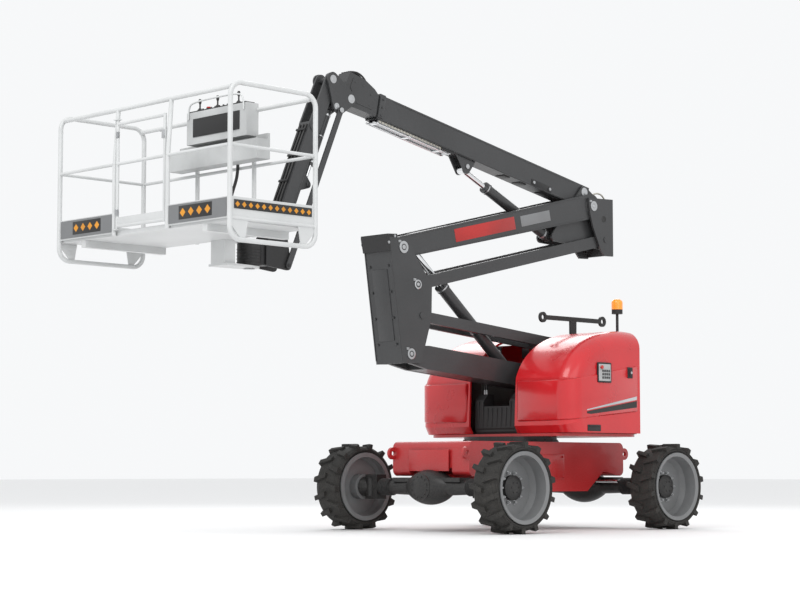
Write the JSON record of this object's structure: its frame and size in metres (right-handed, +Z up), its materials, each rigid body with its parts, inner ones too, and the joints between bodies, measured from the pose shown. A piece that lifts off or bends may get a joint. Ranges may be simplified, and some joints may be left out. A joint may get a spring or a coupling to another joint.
{
  "type": "articulating boom lift",
  "caption": "Articulating boom lift on four lugged wheels: slewing turret with hinged hoods, folding riser, telescopic boom, jib and a wide railed work basket.",
  "frame": {"origin": "bottom centre of the whole machine, on the floor, in the pose of the picture", "axes": "+X forward from the counterweight to the basket, +Y the left side of the machine, +Z up"},
  "size_m": [6.0334, 2.364, 4.1698],
  "materials": {
    "red_paint": "gloss enamel with light dust",
    "red_hood": "moulded gloss shell",
    "dark_paint": "satin enamel",
    "black_paint": "satin enamel",
    "grey_paint": "satin enamel",
    "rim_paint": "satin enamel",
    "black_plastic": "moulded",
    "cast": "as cast and painted",
    "weight_red": "painted casting",
    "steel": "machined",
    "rod_chrome": "hard chrome",
    "tyre": "dusty tread",
    "amber": "clear lens",
    "console_grey": "moulded"
  },
  "bodies": {
    "chassis": {"chassis_frame": "red_paint", "slew_ring": "black_paint", "front_axle": "black_paint", "rear_axle": "black_paint", "driveline": "black_paint"},
    "turret": {"turret_frame": "red_paint", "counterweight": "weight_red", "engine_block": "cast", "tank_block": "black_plastic", "front_cover": "black_plastic", "lifting_bar": "black_paint", "beacon_pole": "black_plastic", "beacon_lens": "amber"},
    "left_hood": {"hood_left": "red_hood", "control_panel": "black_plastic"},
    "right_hood": {"hood_right": "red_hood"},
    "lower_arm": {"lower_arm": "dark_paint"},
    "lower_link": {"lower_link": "dark_paint"},
    "riser_knuckle": {"riser_knuckle": "dark_paint", "riser_bracket": "black_paint"},
    "upper_arm": {"upper_arm": "dark_paint"},
    "upper_link": {"upper_link": "dark_paint"},
    "boom_knuckle": {"boom_knuckle": "dark_paint"},
    "boom_outer": {"boom_outer": "dark_paint", "cable_guide": "steel"},
    "boom_inner": {"boom_inner": "dark_paint"},
    "jib_knuckle": {"jib_knuckle": "dark_paint"},
    "jib_arm": {"jib_arm": "dark_paint"},
    "jib_link": {"jib_link_left": "dark_paint", "jib_link_right": "dark_paint"},
    "basket_carrier": {"basket_carrier": "black_paint"},
    "arm_barrel": {"arm_barrel": "dark_paint"},
    "arm_rod": {"arm_rod": "rod_chrome"},
    "boom_barrel": {"boom_barrel": "dark_paint"},
    "boom_rod": {"boom_rod": "rod_chrome"},
    "jib_barrel": {"jib_barrel": "dark_paint"},
    "jib_rod": {"jib_rod": "rod_chrome"},
    "basket": {"basket_floor": "grey_paint", "basket_left_frame": "grey_paint", "basket_right_frame": "grey_paint", "basket_front_rails": "grey_paint", "basket_rear_rails": "grey_paint", "basket_console": "console_grey"},
    "gate": {"basket_gate": "grey_paint"},
    "steer_front_left": {"knuckle_front_left": "black_paint"},
    "wheel_front_left": {"rim_front_left": "rim_paint", "tyre_front_left": "tyre"},
    "steer_front_right": {"knuckle_front_right": "black_paint"},
    "wheel_front_right": {"rim_front_right": "rim_paint", "tyre_front_right": "tyre"},
    "steer_rear_left": {"knuckle_rear_left": "black_paint"},
    "wheel_rear_left": {"rim_rear_left": "rim_paint", "tyre_rear_left": "tyre"},
    "steer_rear_right": {"knuckle_rear_right": "black_paint"},
    "wheel_rear_right": {"rim_rear_right": "rim_paint", "tyre_rear_right": "tyre"}
  },
  "joints": [
    {"name": "front_steer", "type": "hinge", "parent": "chassis", "child": "steer_front_left", "pos_m": [-0.40316, 0.8, 0.412], "axis": [0, 0, 1], "range_deg": [-30, 30]},
    {"name": "front_left_wheel", "type": "hinge", "parent": "steer_front_left", "child": "wheel_front_left", "pos_m": [-0.40316, 1.03, 0.412], "axis": [0, 1, 0], "continuous": true},
    {"name": "front_right_steer", "type": "hinge", "parent": "chassis", "child": "steer_front_right", "pos_m": [-0.40316, -0.8, 0.412], "axis": [0, 0, 1], "range_deg": [-30, 30]},
    {"name": "front_right_wheel", "type": "hinge", "parent": "steer_front_right", "child": "wheel_front_right", "pos_m": [-0.40316, -1.03, 0.412], "axis": [0, 1, 0], "continuous": true},
    {"name": "rear_steer", "type": "hinge", "parent": "chassis", "child": "steer_rear_left", "pos_m": [-2.60316, 0.8, 0.412], "axis": [0, 0, 1], "range_deg": [-30, 30]},
    {"name": "rear_left_wheel", "type": "hinge", "parent": "steer_rear_left", "child": "wheel_rear_left", "pos_m": [-2.60316, 1.03, 0.412], "axis": [0, 1, 0], "continuous": true},
    {"name": "rear_right_steer", "type": "hinge", "parent": "chassis", "child": "steer_rear_right", "pos_m": [-2.60316, -0.8, 0.412], "axis": [0, 0, 1], "range_deg": [-30, 30]},
    {"name": "rear_right_wheel", "type": "hinge", "parent": "steer_rear_right", "child": "wheel_rear_right", "pos_m": [-2.60316, -1.03, 0.412], "axis": [0, 1, 0], "continuous": true},
    {"name": "slew", "type": "hinge", "parent": "chassis", "child": "turret", "pos_m": [-1.50316, 0, 0.858], "axis": [0, 0, 1], "range_deg": [-175, 175]},
    {"name": "left_hood", "type": "hinge", "parent": "turret", "child": "left_hood", "pos_m": [-1.74816, 0.3, 1.93], "axis": [1, 0, 0], "range_deg": [0, 60]},
    {"name": "right_hood", "type": "hinge", "parent": "turret", "child": "right_hood", "pos_m": [-1.74816, -0.3, 1.93], "axis": [-1, 0, 0], "range_deg": [0, 60]},
    {"name": "arm_lift", "type": "hinge", "parent": "turret", "child": "lower_arm", "pos_m": [-2.12316, 0, 1.435], "axis": [0, -1, 0], "range_deg": [-12, 52]},
    {"name": "lower_link_turn", "type": "hinge", "parent": "turret", "child": "lower_link", "pos_m": [-2.26216, 0, 1.795], "axis": [0, -1, 0], "range_deg": [-12, 52]},
    {"name": "riser_level", "type": "hinge", "parent": "lower_arm", "child": "riser_knuckle", "pos_m": [0.02895, 0, 1.63086], "axis": [0, -1, 0], "range_deg": [-52.1, 12.1]},
    {"name": "upper_arm_turn", "type": "hinge", "parent": "riser_knuckle", "child": "upper_arm", "pos_m": [0.12795, 0, 2.60786], "axis": [0, 1, 0], "range_deg": [-10.6, 45.8]},
    {"name": "upper_link_turn", "type": "hinge", "parent": "riser_knuckle", "child": "upper_link", "pos_m": [-0.05705, 0, 2.27586], "axis": [0, 1, 0], "range_deg": [-10.6, 45.8]},
    {"name": "boom_knuckle_level", "type": "hinge", "parent": "upper_arm", "child": "boom_knuckle", "pos_m": [-2.57581, 0, 3.23704], "axis": [0, 1, 0], "range_deg": [-45.8, 10.6]},
    {"name": "arm_barrel_turn", "type": "hinge", "parent": "lower_arm", "child": "arm_barrel", "pos_m": [-1.48761, 0, 1.51292], "axis": [0, -1, 0], "range_deg": [-19.2, 4.6]},
    {"name": "arm_rod_slide", "type": "slide", "parent": "arm_barrel", "child": "arm_rod", "axis": [0.7688, 0, 0.6395], "range_m": [-0.195, 0.83]},
    {"name": "boom_lift", "type": "hinge", "parent": "boom_knuckle", "child": "boom_outer", "pos_m": [-2.51781, 0, 3.38004], "axis": [0, -1, 0], "range_deg": [-9, 55]},
    {"name": "boom_barrel_turn", "type": "hinge", "parent": "boom_knuckle", "child": "boom_barrel", "pos_m": [-2.06281, 0, 2.89004], "axis": [0, -1, 0], "range_deg": [-9, 53.8]},
    {"name": "boom_rod_slide", "type": "slide", "parent": "boom_barrel", "child": "boom_rod", "axis": [0.9122, 0, 0.4098], "range_m": [-0.106, 0.628]},
    {"name": "telescope", "type": "slide", "parent": "boom_outer", "child": "boom_inner", "axis": [0.9816, 0, 0.1908], "range_m": [0, 1.6]},
    {"name": "jib_head_level", "type": "hinge", "parent": "boom_inner", "child": "jib_knuckle", "pos_m": [0.71771, 0, 3.91422], "axis": [0, -1, 0], "range_deg": [-55.1, 9.1]},
    {"name": "jib_lift", "type": "hinge", "parent": "jib_knuckle", "child": "jib_arm", "pos_m": [0.93971, 0, 4.06622], "axis": [0, -1, 0], "range_deg": [-3, 127]},
    {"name": "jib_link_turn", "type": "hinge", "parent": "jib_knuckle", "child": "jib_link", "pos_m": [0.85971, 0, 3.79122], "axis": [0, -1, 0], "range_deg": [-3, 127]},
    {"name": "jib_barrel_turn", "type": "hinge", "parent": "jib_knuckle", "child": "jib_barrel", "pos_m": [0.89671, 0, 3.82522], "axis": [0, -1, 0], "range_deg": [-3.2, 125.9]},
    {"name": "jib_rod_slide", "type": "slide", "parent": "jib_barrel", "child": "jib_rod", "axis": [0.3835, 0, -0.9235], "range_m": [-0.015, 0.464]},
    {"name": "basket_level", "type": "hinge", "parent": "jib_arm", "child": "basket_carrier", "pos_m": [1.55316, 0, 2.62103], "axis": [0, -1, 0], "range_deg": [-127.1, 3.1]},
    {"name": "basket_rotate", "type": "hinge", "parent": "basket_carrier", "child": "basket", "pos_m": [1.82616, 0, 2.43603], "axis": [0, 0, 1], "range_deg": [-90, 90]},
    {"name": "gate_swing", "type": "hinge", "parent": "basket", "child": "gate", "pos_m": [2.99616, -0.319, 3.12103], "axis": [0, 0, 1], "range_deg": [0, 90]}
  ],
  "couplings": [
    {"joint": "front_right_steer", "follows": "front_steer", "ratio": 1},
    {"joint": "rear_right_steer", "follows": "rear_steer", "ratio": 1},
    {"joint": "lower_link_turn", "follows": "arm_lift", "ratio": 1},
    {"joint": "riser_level", "follows": "arm_lift", "ratio": -1},
    {"joint": "upper_arm_turn", "follows": "arm_lift", "ratio": 0.88},
    {"joint": "upper_link_turn", "follows": "arm_lift", "ratio": 0.88},
    {"joint": "boom_knuckle_level", "follows": "arm_lift", "ratio": -0.88},
    {"joint": "arm_barrel_turn", "follows": "arm_lift", "ratio": -0.365},
    {"joint": "arm_rod_slide", "follows": "arm_lift", "m_per_rad": 0.91},
    {"joint": "boom_barrel_turn", "follows": "boom_lift", "ratio": 0.975},
    {"joint": "boom_rod_slide", "follows": "boom_lift", "m_per_rad": 0.65},
    {"joint": "jib_head_level", "follows": "boom_lift", "ratio": -1},
    {"joint": "jib_link_turn", "follows": "jib_lift", "ratio": 1},
    {"joint": "jib_barrel_turn", "follows": "jib_lift", "ratio": 0.99},
    {"joint": "jib_rod_slide", "follows": "jib_lift", "m_per_rad": 0.2075},
    {"joint": "basket_level", "follows": "jib_lift", "ratio": -1}
  ]
}
